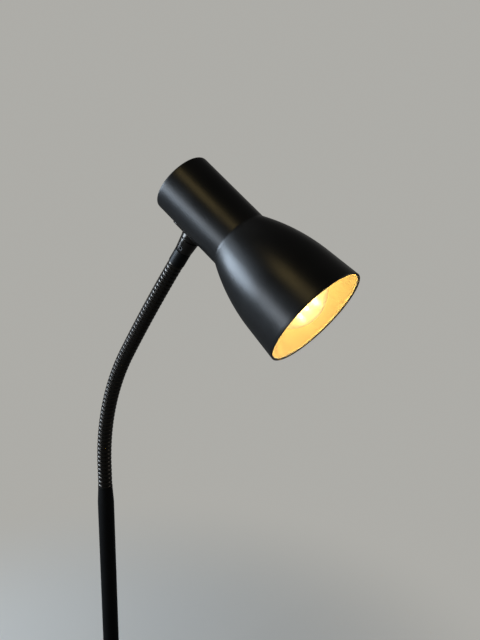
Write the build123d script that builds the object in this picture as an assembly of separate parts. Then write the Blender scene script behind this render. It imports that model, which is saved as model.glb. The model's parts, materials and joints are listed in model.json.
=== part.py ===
from build123d import *
import math
import os

# Desk lamp on a flexible neck. Millimetres, +Z up, +X the way the neck leans.
# The origin is on the desk, at the centre of the base's underside.

# Clearances
seat_gap = 0.1
swivel_gap = 0.3
running_gap = 0.06
overrun = 2.0

# Base
base_diameter = 160.0
base_height = 24.0
base_edge_radius = 8.0
cover_wall = 1.2
rim_lift = 1.0
pad_thickness = 2.0
pad_inset = 3.0
plate_thickness = 2.0
weight_height = 11.0
weight_gap = 0.8
boss_radius = 24.0
boss_pocket_radius = 13.0
boss_roof = 6.0
plate_screw_radius = 2.0
plate_screw_head_radius = 4.0
plate_screw_length = 9.0
plate_screw_from_edge = 20.0
plate_screw_count = 4

# Cord inlet at the rear of the base
inlet_bore_radius = 3.2
inlet_body_radius = 4.4
inlet_flange_radius = 6.8
inlet_lip_radius = 5.4
inlet_flange_length = 4.0
inlet_inside_length = 8.0
inlet_nut_across = 12.0
inlet_nut_thickness = 3.0

# Push switch on the base
switch_from_edge = 32.0
switch_body_radius = 12.0
switch_body_wall = 2.0
switch_floor = 2.0
switch_floor_lift = 2.0
bezel_radius = 13.5
bezel_height = 2.2
bezel_neck_radius = 10.0
bezel_neck_length = 6.0
button_radius = 7.6
button_rise = 4.5
button_crown = 1.2
button_flange_width = 0.7
button_flange_thickness = 2.0
button_gap = 0.3
button_stem_radius = 4.0
button_travel = 2.5
spring_wire_radius = 0.35
spring_radius = 6.2
spring_turns = 4

# Post
post_length = 226.0
post_radius = 8.0
post_wall = 1.5
collar_radius = 16.0
collar_height = 9.0
collar_lip = 2.5
collar_crown_radius = 9.6
bush_length = 20.0
nipple_radius = 5.0
nipple_bore_radius = 3.2
nipple_hold = 15.0
washer_radius = 10.0
washer_thickness = 1.5
nut_across = 17.0
nut_thickness = 4.5
nut_stand = 0.6
lead_radius = 2.2
lead_bend_radius = 5.0
lead_lift = 0.4

# Coupling between post and neck
taper_length = 21.0
taper_land = 2.0
taper_lip_length = 3.0
spigot_length = 14.0

# Flexible neck: ribbed lengths, each with a ball below and a cup above
neck_radius = 6.65
groove_depth = 0.75
rib_pitch = 4.1
ribs_per_length = 8
neck_lengths = 8
neck_bore_radius = 3.0
neck_straight = 41.0
lower_bend_length = 130.0
lower_bend_degrees = 30.9
upper_bend_degrees = 3.53
ball_radius = 5.5
ball_gap = 0.2
ball_depth = 3.2
joint_degrees = 20.0
joint_gap = 0.3
flank_low_share = 0.15
flank_high_share = 0.35

# Ferrule, coupling and saddle that carry the head
head_reach = 60.6
sleeve_length = 14.0
sleeve_radius = 7.1
stud_radius = 4.8
stud_length = 11.0
stud_groove_depth = 0.8
stud_groove_width = 4.8
coupling_small_radius = 7.3
coupling_large_radius = 8.5
collar_ring_radius = 8.8
collar_ring_length = 6.0
ring_groove_width = 1.2
ring_groove_depth = 0.7
set_screw_radius = 2.0
set_screw_socket_across = 2.0
set_screw_socket_depth = 1.5
set_screw_back = 4.0
saddle_length = 31.0
saddle_width = 22.0
saddle_corner = 6.0
saddle_thickness = 1.5
head_washer_radius = 8.5
head_washer_thickness = 1.0
head_nut_across = 14.0
head_nut_thickness = 4.0
nipple_stand = 1.6

# Shade
shade_length = 162.7
shade_mouth_radius = 47.0
shade_neck_radius = 27.1
shade_neck_length = 72.7
shade_wall = 1.0
shade_rear_radius = 2.8
shade_crease_radius = 6.0
shade_seam_back = 2.0
bell_start_degrees = 26.5
bell_end_degrees = 5.5
stem_from_rear = 33.5
vent_radius = 2.5
vent_circle_radius = 15.0
vent_count = 8

# Lampholder and its bracket
bracket_thickness = 1.5
bracket_width = 18.0
bracket_arm_from_stem = 13.9
bracket_tail = 11.0
bracket_screw_reach = 10.0
bracket_screw_radius = 1.5
bracket_screw_head_radius = 3.0
bracket_screw_head = 2.0
holder_radius = 19.0
holder_rear_radius = 15.5
holder_rear_taper = 6.0
holder_rear_wall = 4.5
holder_cap_length = 18.0
holder_skirt_length = 22.0
holder_wall = 2.5
holder_lead_radius = 3.0
core_thickness = 6.0
shell_wall = 0.5
shell_length = 26.0
contact_radius = 4.0
contact_thickness = 1.0

# Bulb
bulb_radius = 30.0
bulb_length = 101.6
bulb_neck_radius = 12.9
bulb_glass_wall = 0.8
bulb_neck_length = 10.0
cap_radius = 13.2
cap_wall = 0.4
cap_length = 23.0
insulator_height = 4.0
insulator_small_radius = 6.0
bulb_contact_radius = 4.8
bulb_contact_height = 1.5
stem_radius = 4.0
stem_flare_height = 10.0
stem_height = 46.0
wire_radius = 0.5
strip_radius = 0.9
strip_length = 38.0
strip_foot_reach = 6.0
strip_top_reach = 9.5
strip_from_front = 6.5
strip_count = 6

UP = (Align.CENTER, Align.CENTER, Align.MIN)
base_radius = base_diameter / 2
switch_reach = base_radius - switch_from_edge
plate_top = pad_thickness + plate_thickness
weight_top = plate_top + weight_height
cover_under = base_height - cover_wall
post_top = base_height + post_length
post_bore = post_radius - post_wall
length_of_link = rib_pitch * ribs_per_length
neck_top = taper_length + neck_lengths * length_of_link


def disc(radius, low, high):
    return Pos(0, 0, low) * Cylinder(radius, high - low, align=UP)


def tube(outer, inner, low, high):
    return disc(outer, low, high) - disc(inner, low - overrun, high + overrun)


def turned(*points):
    """A solid of revolution about Z from an outline of (radius, height) points."""
    return revolve(Plane.XZ * make_face(Polyline(*points, close=True)), Axis.Z)


def turned_curve(curve):
    """A solid of revolution about Z from a closed outline of lines and arcs."""
    return revolve(Plane.XZ * make_face(curve), Axis.Z)


def hex_nut(across, bore, low, high):
    blank = extrude(RegularPolygon(across / 2, 6, major_radius=False), amount=high - low)
    return Pos(0, 0, low) * blank - disc(bore, low - overrun, high + overrun)


# Base


def base_pad():
    return disc(base_radius - cover_wall - pad_inset, 0, pad_thickness)


def plate_screw_places():
    first = 180.0 / plate_screw_count
    circle = base_radius - plate_screw_from_edge
    return PolarLocations(circle, plate_screw_count, start_angle=first)


def base_plate():
    plate = disc(base_radius - cover_wall - seat_gap, pad_thickness, plate_top)
    sink = turned(
        (0, pad_thickness),
        (plate_screw_head_radius + seat_gap, pad_thickness),
        (plate_screw_radius + seat_gap, plate_top),
        (0, plate_top),
    )
    return plate - plate_screw_places() * sink


def base_screws():
    tip = pad_thickness + plate_screw_length
    screw = turned(
        (0, pad_thickness),
        (plate_screw_head_radius, pad_thickness),
        (plate_screw_radius, plate_top),
        (plate_screw_radius, tip),
        (0, tip),
    )
    return Compound(plate_screw_places() * screw)


def base_weight():
    weight = disc(base_radius - cover_wall - weight_gap, plate_top, weight_top)
    weight += disc(boss_radius, weight_top, cover_under)
    weight -= disc(boss_pocket_radius, plate_top, cover_under - boss_roof)
    weight -= disc(nipple_radius + seat_gap, plate_top, base_height)
    weight -= Pos(switch_reach, 0, 0) * disc(switch_body_radius + weight_gap, plate_top, base_height)
    hole_top = pad_thickness + plate_screw_length + seat_gap
    weight -= plate_screw_places() * disc(plate_screw_radius + seat_gap, plate_top, hole_top)
    channel_height = 2 * (lead_radius + lead_lift)
    channel = Box(switch_reach, channel_height, channel_height, align=(Align.MIN, Align.CENTER, Align.MIN))
    weight -= Pos(0, 0, plate_top) * channel
    notch_depth = inlet_inside_length + cover_wall + overrun
    notch_width = 2 * inlet_nut_corner + overrun
    notch = Box(notch_depth, notch_width, base_height, align=(Align.MIN, Align.CENTER, Align.MIN))
    return weight - Pos(-base_radius, 0, plate_top) * notch


def base_cover():
    flat = base_radius - base_edge_radius
    side = base_height - base_edge_radius
    inner = base_radius - cover_wall
    outline = Line((0, base_height), (flat, base_height))
    outline += RadiusArc((flat, base_height), (base_radius, side), base_edge_radius)
    outline += Polyline((base_radius, side), (base_radius, rim_lift), (inner, rim_lift), (inner, side))
    outline += RadiusArc((inner, side), (flat, cover_under), cover_wall - base_edge_radius)
    outline += Polyline((flat, cover_under), (0, cover_under), (0, base_height))
    cover = turned_curve(outline)
    cover -= disc(nipple_radius + seat_gap, 0, base_height + overrun)
    cover -= Pos(switch_reach, 0, 0) * disc(bezel_neck_radius + seat_gap, 0, base_height + overrun)
    return cover - inlet_plane * disc(inlet_body_radius + seat_gap, -inlet_inside_length, overrun)


# Cord inlet: local Z points out of the base's rear wall

inlet_nut_corner = inlet_nut_across / 2 / math.cos(math.pi / 6)
inlet_height = plate_top + inlet_nut_corner + swivel_gap
inlet_plane = Plane(origin=(-base_radius, 0, inlet_height), x_dir=(0, 1, 0), z_dir=(-1, 0, 0))


def cord_inlet():
    bush = turned(
        (inlet_bore_radius, -inlet_inside_length),
        (inlet_body_radius, -inlet_inside_length),
        (inlet_body_radius, 0),
        (inlet_flange_radius, 0),
        (inlet_flange_radius, inlet_flange_length / 2),
        (inlet_lip_radius, inlet_flange_length),
        (inlet_bore_radius, inlet_flange_length),
    )
    return inlet_plane * bush


def inlet_nut():
    inner = base_radius - cover_wall
    face = math.sqrt(inner**2 - inlet_nut_corner**2) - base_radius - seat_gap
    nut = hex_nut(inlet_nut_across, inlet_body_radius + seat_gap, face - inlet_nut_thickness, face)
    return inlet_plane * nut


# Push switch: the button slides down in the bezel's neck against its spring

switch_low = plate_top + switch_floor_lift
switch_floor_top = switch_low + switch_floor
neck_low = base_height - bezel_neck_length
bezel_top = base_height + bezel_height
bezel_bore = button_radius + button_gap
flange_top = neck_low - button_gap
flange_low = flange_top - button_flange_thickness


def switch_place():
    return Pos(switch_reach, 0, 0)


def switch_body():
    case = disc(switch_body_radius, switch_low, cover_under)
    case -= disc(bezel_neck_radius + seat_gap, neck_low, cover_under + overrun)
    case -= disc(switch_body_radius - switch_body_wall, switch_floor_top, neck_low)
    return switch_place() * case


def switch_bezel():
    ring = turned(
        (bezel_bore, neck_low),
        (bezel_neck_radius, neck_low),
        (bezel_neck_radius, base_height),
        (bezel_radius, base_height),
        (bezel_radius, base_height + bezel_height / 2),
        (bezel_neck_radius, bezel_top),
        (bezel_bore, bezel_top),
    )
    return switch_place() * ring


def switch_button():
    top = bezel_top + button_rise
    flange = bezel_bore + button_flange_width
    stem_low = switch_floor_top + button_travel + button_gap
    outline = Polyline(
        (0, top),
        (0, stem_low),
        (button_stem_radius, stem_low),
        (button_stem_radius, flange_low),
        (flange, flange_low),
        (flange, flange_top),
        (button_radius, flange_top),
        (button_radius, top - button_crown),
    )
    crown_radius = (button_radius**2 + button_crown**2) / (2 * button_crown)
    outline += RadiusArc((button_radius, top - button_crown), (0, top), -crown_radius)
    return switch_place() * turned_curve(outline)


def switch_spring():
    rise = flange_low - switch_floor_top - 2 * (spring_wire_radius + seat_gap)
    coil = Helix(pitch=rise / spring_turns, height=rise, radius=spring_radius)
    wire = sweep(Plane(origin=coil @ 0, z_dir=coil % 0) * Circle(spring_wire_radius), coil, is_frenet=True)
    print("switch spring gap to itself", round(rise / spring_turns - 2 * spring_wire_radius, 3))
    return switch_place() * Pos(0, 0, switch_floor_top + spring_wire_radius + seat_gap) * wire


# Post

nipple_low = cover_under - boss_roof - washer_thickness - nut_thickness - nut_stand
washer_low = cover_under - boss_roof - washer_thickness


def post_collar():
    bore = post_radius + seat_gap
    outline = Polyline(
        (bore, base_height + collar_height),
        (bore, base_height),
        (collar_radius, base_height),
        (collar_radius, base_height + collar_lip),
    )
    outline += SagittaArc(
        (collar_radius, base_height + collar_lip),
        (collar_crown_radius, base_height + collar_height),
        -collar_lip / 2,
    )
    outline += Line((collar_crown_radius, base_height + collar_height), (bore, base_height + collar_height))
    return turned_curve(outline)


def post_tube():
    return tube(post_radius, post_bore, base_height, post_top)


def post_bush():
    return tube(post_bore - seat_gap, nipple_radius + seat_gap, base_height, base_height + bush_length)


def post_nipple():
    return tube(nipple_radius, nipple_bore_radius, nipple_low, base_height + nipple_hold)


def post_washer():
    return tube(washer_radius, nipple_radius + seat_gap, washer_low, washer_low + washer_thickness)


def post_nut():
    return hex_nut(nut_across, nipple_radius + seat_gap, washer_low - nut_thickness, washer_low)


def post_lead():
    run_height = plate_top + lead_lift + lead_radius
    start = switch_reach - switch_body_radius - swivel_gap
    route = FilletPolyline(
        (start, 0, run_height), (0, 0, run_height), (0, 0, post_top), radius=lead_bend_radius
    )
    return sweep(Plane(origin=route @ 0, z_dir=route % 0) * Circle(lead_radius), route)


# Neck path: a straight run above the post, then two tangent arcs in the XZ plane

lower_bend = math.radians(lower_bend_degrees)
upper_bend = math.radians(upper_bend_degrees)
upper_bend_length = neck_top - neck_straight - lower_bend_length
lower_bend_radius = lower_bend_length / lower_bend
upper_bend_radius = upper_bend_length / upper_bend


def bent(start, lean, radius, turn):
    """End of an arc that starts at start, leaning lean from upright, and turns further by turn."""
    across = radius * (math.cos(lean) - math.cos(lean + turn))
    rise = radius * (math.sin(lean + turn) - math.sin(lean))
    return Vector(start.X + across, 0, start.Z + rise)


bend_start = Vector(0, 0, post_top + neck_straight)
bend_change = bent(bend_start, 0, lower_bend_radius, lower_bend)


def neck_plane(length):
    """Square section plane of the neck at a length along it from the post's top."""
    if length <= neck_straight:
        lean = 0
        place = Vector(0, 0, post_top + length)
    elif length <= neck_straight + lower_bend_length:
        lean = (length - neck_straight) / lower_bend_radius
        place = bent(bend_start, 0, lower_bend_radius, lean)
    else:
        turn = (length - neck_straight - lower_bend_length) / upper_bend_radius
        lean = lower_bend + turn
        place = bent(bend_change, lower_bend, upper_bend_radius, turn)
    across = (math.cos(lean), 0, -math.sin(lean))
    return Plane(origin=place, x_dir=across, z_dir=(math.sin(lean), 0, math.cos(lean)))


def neck_line(low, high):
    """The neck's centre line between two lengths, as straight runs and arcs."""
    changes = [neck_straight, neck_straight + lower_bend_length]
    stops = [low] + [c for c in changes if low < c < high] + [high]
    line = []
    for start, end in zip(stops, stops[1:]):
        ends = neck_plane(start).origin, neck_plane(end).origin
        if end <= neck_straight:
            line.append(Edge.make_line(*ends))
        else:
            line.append(Edge.make_three_point_arc(ends[0], neck_plane((start + end) / 2).origin, ends[1]))
    return Wire(line)


# The ends of two lengths stand far enough apart to tilt by joint_degrees without touching
half_gap = neck_radius * math.tan(math.radians(joint_degrees) / 2) + joint_gap / 2
groove_radius = neck_radius - groove_depth


def rib_radius(share):
    """Outer radius of a rib at a share of its pitch."""
    from_middle = min(share, 1 - share)
    rise = (from_middle - flank_low_share) / (flank_high_share - flank_low_share)
    return groove_radius + groove_depth * min(max(rise, 0), 1)


def link_sections(first):
    """Circles of one ribbed length, four to a rib, as lengths along the neck and radii."""
    shares = [flank_low_share, flank_high_share, 1 - flank_high_share, 1 - flank_low_share]
    last = first + length_of_link
    low = first + half_gap
    high = last - half_gap
    edge = rib_radius(half_gap / rib_pitch)
    inside = []
    for rib in range(ribs_per_length):
        for share in shares:
            place = first + (rib + share) * rib_pitch
            if low < place < high:
                inside.append((place, rib_radius(share)))
    return [(low, edge)] + inside + [(high, edge)]


def joint_ball():
    top = half_gap + overrun / 2
    waist = math.sqrt(ball_radius**2 - top**2)
    nose = math.sqrt(ball_radius**2 - ball_depth**2)
    bore = neck_bore_radius
    outline = Polyline((waist, top), (bore, top), (bore, -ball_depth), (nose, -ball_depth))
    outline += ThreePointArc((nose, -ball_depth), (ball_radius, 0), (waist, top))
    return turned_curve(outline)


def neck_link(index):
    first = taper_length + index * length_of_link
    last = first + length_of_link
    sections = link_sections(first)
    if index == neck_lengths - 1:
        sections[-1] = (last, sections[-1][1])
    link = loft([neck_plane(place) * Circle(radius) for place, radius in sections], ruled=True)
    link += neck_plane(first) * joint_ball()
    link -= sweep(neck_plane(first) * Circle(neck_bore_radius), neck_line(first, last))
    if index < neck_lengths - 1:
        link -= neck_plane(last) * Sphere(ball_radius + ball_gap)
    return link


def post_taper():
    land = post_top + taper_land
    top = post_top + taper_length - half_gap
    lip = top - taper_lip_length
    taper = turned(
        (neck_bore_radius, post_top - spigot_length),
        (post_bore - seat_gap, post_top - spigot_length),
        (post_bore - seat_gap, post_top),
        (post_radius, post_top),
        (post_radius, land),
        (neck_radius, lip),
        (neck_radius, top),
        (neck_bore_radius, top),
    )
    return taper - neck_plane(taper_length) * Sphere(ball_radius + ball_gap)


# Head frames. On the mount plane, Z runs from the shade's axis back to the neck.
# On the head plane, Z runs from the shade's rear to its mouth and X points at the neck.

neck_end = neck_plane(neck_top)
head_centre = neck_end.origin + neck_end.z_dir * head_reach
head_axis = neck_end.x_dir
mount_plane = Plane(origin=head_centre, x_dir=head_axis, z_dir=-neck_end.z_dir)
head_plane = Plane(origin=head_centre - head_axis * stem_from_rear, x_dir=-neck_end.z_dir, z_dir=head_axis)

shade_bore = shade_neck_radius - shade_wall
saddle_low = shade_neck_radius + seat_gap
saddle_high = saddle_low + saddle_thickness
sleeve_low = head_reach - sleeve_length
coupling_end = sleeve_low - swivel_gap
stud_end = sleeve_low - stud_length
bracket_face = math.sqrt(shade_bore**2 - (bracket_width / 2) ** 2) - seat_gap
bracket_inside = bracket_face - bracket_thickness
head_nut_low = bracket_inside - head_washer_thickness - head_nut_thickness
screw_place = sleeve_low - set_screw_back


def neck_sleeve():
    groove_low = screw_place - stud_groove_width / 2
    groove_high = screw_place + stud_groove_width / 2
    groove = stud_radius - stud_groove_depth
    sleeve = turned(
        (neck_bore_radius, head_reach),
        (sleeve_radius, head_reach),
        (sleeve_radius, sleeve_low),
        (stud_radius, sleeve_low),
        (stud_radius, groove_high),
        (groove, groove_high),
        (groove, groove_low),
        (stud_radius, groove_low),
        (stud_radius, stud_end),
        (neck_bore_radius, stud_end),
    )
    return mount_plane * sleeve


def head_coupling():
    bore_step = stud_end - swivel_gap
    ring_end = saddle_high + collar_ring_length
    groove_end = ring_end + ring_groove_width
    groove = coupling_large_radius - ring_groove_depth
    coupling = turned(
        (stud_radius + running_gap, coupling_end),
        (coupling_small_radius, coupling_end),
        (coupling_large_radius, groove_end),
        (groove, groove_end),
        (groove, ring_end),
        (collar_ring_radius, ring_end),
        (collar_ring_radius, shade_bore),
        (nipple_radius + seat_gap, shade_bore),
        (nipple_radius + seat_gap, bore_step),
        (stud_radius + running_gap, bore_step),
    )
    coupling = mount_plane * coupling
    coupling -= head_plane * disc(saddle_high + seat_gap, -shade_length, shade_length)
    return coupling - set_screw_plane * disc(set_screw_radius + seat_gap, 0, collar_ring_radius)


# The set screw runs in from the coupling's side, towards the stud's groove
set_screw_plane = Plane(
    origin=head_centre - neck_end.z_dir * screw_place, x_dir=head_axis, z_dir=(0, -1, 0)
)


def head_set_screw():
    tip = stud_radius - stud_groove_depth + swivel_gap
    screw = disc(set_screw_radius, tip, coupling_small_radius)
    socket = extrude(RegularPolygon(set_screw_socket_across / 2, 6, major_radius=False), amount=overrun)
    screw -= Pos(0, 0, coupling_small_radius - set_screw_socket_depth) * socket
    return set_screw_plane * screw


def saddle_plate():
    sheet = head_plane * tube(saddle_high, saddle_low, 0, stem_from_rear + saddle_length)
    blank = extrude(RectangleRounded(saddle_length, saddle_width, saddle_corner), amount=saddle_high)
    plate = sheet & mount_plane * blank
    return plate - mount_plane * disc(nipple_radius + seat_gap, 0, head_reach)


def head_nipple():
    end = stud_end - 2 * swivel_gap
    return mount_plane * tube(nipple_radius, nipple_bore_radius, head_nut_low - nipple_stand, end)


def head_washer():
    low = bracket_inside - head_washer_thickness
    return mount_plane * tube(head_washer_radius, nipple_radius + seat_gap, low, bracket_inside)


def head_nut():
    high = bracket_inside - head_washer_thickness
    return mount_plane * hex_nut(head_nut_across, nipple_radius + seat_gap, head_nut_low, high)


# Shade: a closed cylinder at the rear that opens into a bell

bell_start = math.radians(bell_start_degrees)
bell_end = math.radians(bell_end_degrees)
shade_seam = shade_neck_length - shade_seam_back


def shade_outline(inset):
    """Half outline of the shade, moved inwards by inset, from the rear's centre to the mouth."""
    neck = shade_neck_radius - inset
    mouth = shade_mouth_radius - inset
    bell_length = shade_length - shade_neck_length
    flare = mouth - neck - bell_length * math.tan(bell_end)
    drop = math.cos(bell_end) - math.cos(bell_start)
    run = math.sin(bell_start) - math.sin(bell_end)
    bell_radius = flare / (drop - run * math.tan(bell_end))
    shoulder = (neck + bell_radius * drop, shade_neck_length + bell_radius * run)
    crease_radius = shade_crease_radius + inset
    reach = bell_radius * math.cos(bell_start) + crease_radius
    turn = math.acos(reach / (bell_radius + crease_radius))
    centre_height = shade_neck_length + bell_radius * math.sin(bell_start)
    crease_low = (neck, centre_height - (bell_radius + crease_radius) * math.sin(turn))
    crease_high = (
        neck + bell_radius * (math.cos(turn) - math.cos(bell_start)),
        centre_height - bell_radius * math.sin(turn),
    )
    edge = shade_rear_radius - inset
    side = neck - edge
    curve = Line((0, inset), (side, inset))
    curve += RadiusArc((side, inset), (neck, inset + edge), -edge)
    curve += Line((neck, inset + edge), crease_low)
    curve += RadiusArc(crease_low, crease_high, crease_radius)
    curve += RadiusArc(crease_high, shoulder, -bell_radius)
    curve += Line(shoulder, (mouth, shade_length))
    return curve


def shade_shell():
    outer = shade_outline(0)
    inner = shade_outline(shade_wall)
    rim = Line((shade_mouth_radius, shade_length), (shade_mouth_radius - shade_wall, shade_length))
    axis_edge = Line((0, 0), (0, shade_wall))
    return turned_curve(outer + inner + rim + axis_edge)


def shade_cylinder():
    """The closed rear of the shade, up to the seam behind its crease."""
    cylinder = shade_shell() & disc(shade_mouth_radius, 0, shade_seam)
    vent = disc(vent_radius, -overrun, shade_wall + overrun)
    cylinder -= PolarLocations(vent_circle_radius, vent_count) * vent
    return head_plane * cylinder - mount_plane * disc(nipple_radius + seat_gap, 0, head_reach)


def shade_bell():
    """The bell, from the seam over the crease to the mouth."""
    return head_plane * (shade_shell() - disc(shade_mouth_radius, -overrun, shade_seam))


# Lampholder: bracket held under the nipple's nut, then cap, core, threaded shell and skirt

arm_low = stem_from_rear + bracket_arm_from_stem
arm_high = arm_low + bracket_thickness
holder_step = arm_high + holder_cap_length
holder_front = holder_step + holder_skirt_length
core_low = arm_high + holder_rear_wall
core_high = core_low + core_thickness
bracket_screws_at = [(bracket_screw_reach, 0), (-bracket_screw_reach, 0)]
shell_bore = cap_radius + seat_gap
shell_outer = shell_bore + shell_wall


def lampholder_bracket():
    leg_low = stem_from_rear - bracket_tail
    corner = (Align.MAX, Align.CENTER, Align.MIN)
    leg = Box(bracket_thickness, bracket_width, arm_high - leg_low, align=corner)
    strap = Pos(bracket_face, 0, leg_low) * leg
    arm_reach = bracket_face + bracket_screw_reach
    arm = Box(arm_reach, bracket_width, bracket_thickness, align=corner)
    strap += Pos(bracket_face, 0, arm_low) * arm
    strap += Pos(-bracket_screw_reach, 0, 0) * disc(bracket_width / 2, arm_low, arm_high)
    strap -= disc(holder_lead_radius, arm_low - overrun, arm_high + overrun)
    hole = disc(bracket_screw_radius + seat_gap, arm_low - overrun, arm_high + overrun)
    strap -= Locations(*bracket_screws_at) * hole
    return head_plane * strap - mount_plane * disc(nipple_radius + seat_gap, 0, head_reach)


def bracket_screws():
    screw = disc(bracket_screw_head_radius, arm_low - bracket_screw_head, arm_low)
    screw += disc(bracket_screw_radius, arm_low, core_low)
    return head_plane * Compound(Locations(*bracket_screws_at) * screw)


def lampholder_cap():
    shoulder = arm_high + holder_rear_taper
    bore = holder_radius - holder_wall
    cap = turned(
        (holder_lead_radius, arm_high),
        (holder_rear_radius, arm_high),
        (holder_radius, shoulder),
        (holder_radius, holder_step),
        (bore, holder_step),
        (bore, core_low),
        (holder_lead_radius, core_low),
    )
    hole = disc(bracket_screw_radius + seat_gap, arm_high - overrun, core_low + overrun)
    return head_plane * (cap - Locations(*bracket_screws_at) * hole)


def lampholder_core():
    core = disc(holder_radius - holder_wall - seat_gap, core_low, core_high)
    return head_plane * (core - disc(holder_lead_radius, core_low - overrun, core_high - core_thickness / 2))


def lampholder_shell():
    return head_plane * tube(shell_outer, shell_bore, core_high, core_high + shell_length)


def lampholder_contact():
    return head_plane * disc(contact_radius, core_high, core_high + contact_thickness)


def lampholder_skirt():
    bore = shell_outer + seat_gap
    lip = holder_front - holder_wall
    skirt = turned(
        (bore, holder_step),
        (holder_radius, holder_step),
        (holder_radius, lip),
        (holder_radius - holder_wall / 2, holder_front),
        (bore, holder_front),
    )
    return head_plane * skirt


def head_lead():
    start = head_nut_low + head_nut_thickness
    route = FilletPolyline(
        (start, 0, stem_from_rear), (0, 0, stem_from_rear), (0, 0, core_low), radius=lead_bend_radius
    )
    return head_plane * sweep(Plane(origin=route @ 0, z_dir=route % 0) * Circle(lead_radius), route)


# Bulb: round glass on a screw cap, standing on the holder's contact

tip_low = core_high + contact_thickness + seat_gap
tip_high = tip_low + bulb_contact_height
cap_low = tip_high + insulator_height
cap_high = cap_low + cap_length
bulb_front = tip_low + bulb_length
bulb_centre = bulb_front - bulb_radius
neck_end_z = cap_high + bulb_neck_length - overrun
stem_top = cap_high - bulb_neck_length + stem_height


def bulb_outline(inset):
    """Glass half outline, moved inwards by inset: neck, hollow flank tangent to the round, then the round."""
    neck = bulb_neck_radius - inset
    ball = bulb_radius - inset
    rise = bulb_centre - neck_end_z
    flank = (rise**2 + neck**2 - ball**2) / (2 * (ball - neck))
    share = ball / (ball + flank)
    meet = (share * (neck + flank), bulb_centre - share * rise)
    start = (neck, cap_high - bulb_neck_length)
    curve = Line(start, (neck, neck_end_z))
    curve += RadiusArc((neck, neck_end_z), meet, flank)
    curve += ThreePointArc(meet, (ball, bulb_centre), (0, bulb_centre + ball))
    return curve


def bulb_glass():
    foot = cap_high - bulb_neck_length
    outer = bulb_outline(0)
    inner = bulb_outline(bulb_glass_wall)
    ends = Line((bulb_neck_radius, foot), (bulb_neck_radius - bulb_glass_wall, foot))
    ends += Line((0, bulb_front), (0, bulb_front - bulb_glass_wall))
    return head_plane * turned_curve(outer + inner + ends)


def bulb_cap():
    bore = cap_radius - cap_wall
    foot = insulator_small_radius + insulator_height
    cap = turned(
        (foot, cap_low),
        (cap_radius, cap_low + cap_wall),
        (cap_radius, cap_high),
        (bulb_neck_radius + seat_gap, cap_high),
        (bulb_neck_radius + seat_gap, cap_low + cap_radius - bore + cap_wall),
        (foot, cap_low + cap_wall),
    )
    return head_plane * cap


def bulb_insulator():
    foot = insulator_small_radius + insulator_height
    cone = turned(
        (0, tip_high),
        (insulator_small_radius, tip_high),
        (foot, cap_low),
        (0, cap_low),
    )
    return head_plane * cone


def bulb_contact():
    return head_plane * disc(bulb_contact_radius, tip_low, tip_high)


def bulb_stem():
    foot = cap_high - bulb_neck_length
    flare = bulb_neck_radius - bulb_glass_wall - seat_gap
    stem = turned(
        (0, foot),
        (flare, foot),
        (stem_radius, foot + stem_flare_height),
        (stem_radius, stem_top),
        (0, stem_top),
    )
    return head_plane * stem


strip_top = bulb_front - strip_from_front
strip_foot = strip_top - strip_length
strip_turns = [360 * number / strip_count for number in range(strip_count)]


def bulb_filament():
    """Straight glowing strips that stand round the stem and lean outwards."""
    lean = math.degrees(math.atan((strip_top_reach - strip_foot_reach) / strip_length))
    strip = Pos(strip_foot_reach, 0, strip_foot) * Rot(0, lean, 0) * disc(strip_radius, 0, strip_length)
    return head_plane * Compound([Rot(0, 0, turn) * strip for turn in strip_turns])


def bulb_wires():
    """Wires from the stem to the foot and the top of each strip."""
    foot_height = strip_foot - wire_radius - 2 * seat_gap
    foot_length = strip_foot_reach + strip_radius - stem_radius
    foot_wire = Pos(stem_radius, 0, foot_height) * Rot(0, 90, 0) * disc(wire_radius, 0, foot_length)
    low = Vector(stem_radius - wire_radius, 0, stem_top + wire_radius)
    high = Vector(strip_top_reach - strip_radius - wire_radius - 2 * seat_gap, 0, strip_top - wire_radius)
    top_wire = Plane(origin=low, z_dir=high - low) * disc(wire_radius, 0, (high - low).length)
    wires = []
    for turn in strip_turns:
        wires += [Rot(0, 0, turn) * foot_wire, Rot(0, 0, turn) * top_wire]
    return head_plane * Compound(wires)


NODES = {
    "base_pad": base_pad,
    "base_plate": base_plate,
    "base_screws": base_screws,
    "base_weight": base_weight,
    "base_cover": base_cover,
    "cord_inlet": cord_inlet,
    "inlet_nut": inlet_nut,
    "switch_body": switch_body,
    "switch_bezel": switch_bezel,
    "switch_button": switch_button,
    "switch_spring": switch_spring,
    "post_collar": post_collar,
    "post_tube": post_tube,
    "post_bush": post_bush,
    "post_nipple": post_nipple,
    "post_washer": post_washer,
    "post_nut": post_nut,
    "post_lead": post_lead,
    "post_taper": post_taper,
    "neck_sleeve": neck_sleeve,
    "head_coupling": head_coupling,
    "head_set_screw": head_set_screw,
    "saddle_plate": saddle_plate,
    "head_nipple": head_nipple,
    "head_washer": head_washer,
    "head_nut": head_nut,
    "head_lead": head_lead,
    "shade_cylinder": shade_cylinder,
    "shade_bell": shade_bell,
    "lampholder_bracket": lampholder_bracket,
    "bracket_screws": bracket_screws,
    "lampholder_cap": lampholder_cap,
    "lampholder_core": lampholder_core,
    "lampholder_shell": lampholder_shell,
    "lampholder_contact": lampholder_contact,
    "lampholder_skirt": lampholder_skirt,
    "bulb_contact": bulb_contact,
    "bulb_insulator": bulb_insulator,
    "bulb_cap": bulb_cap,
    "bulb_glass": bulb_glass,
    "bulb_stem": bulb_stem,
    "bulb_wires": bulb_wires,
    "bulb_filament": bulb_filament,
}

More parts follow.
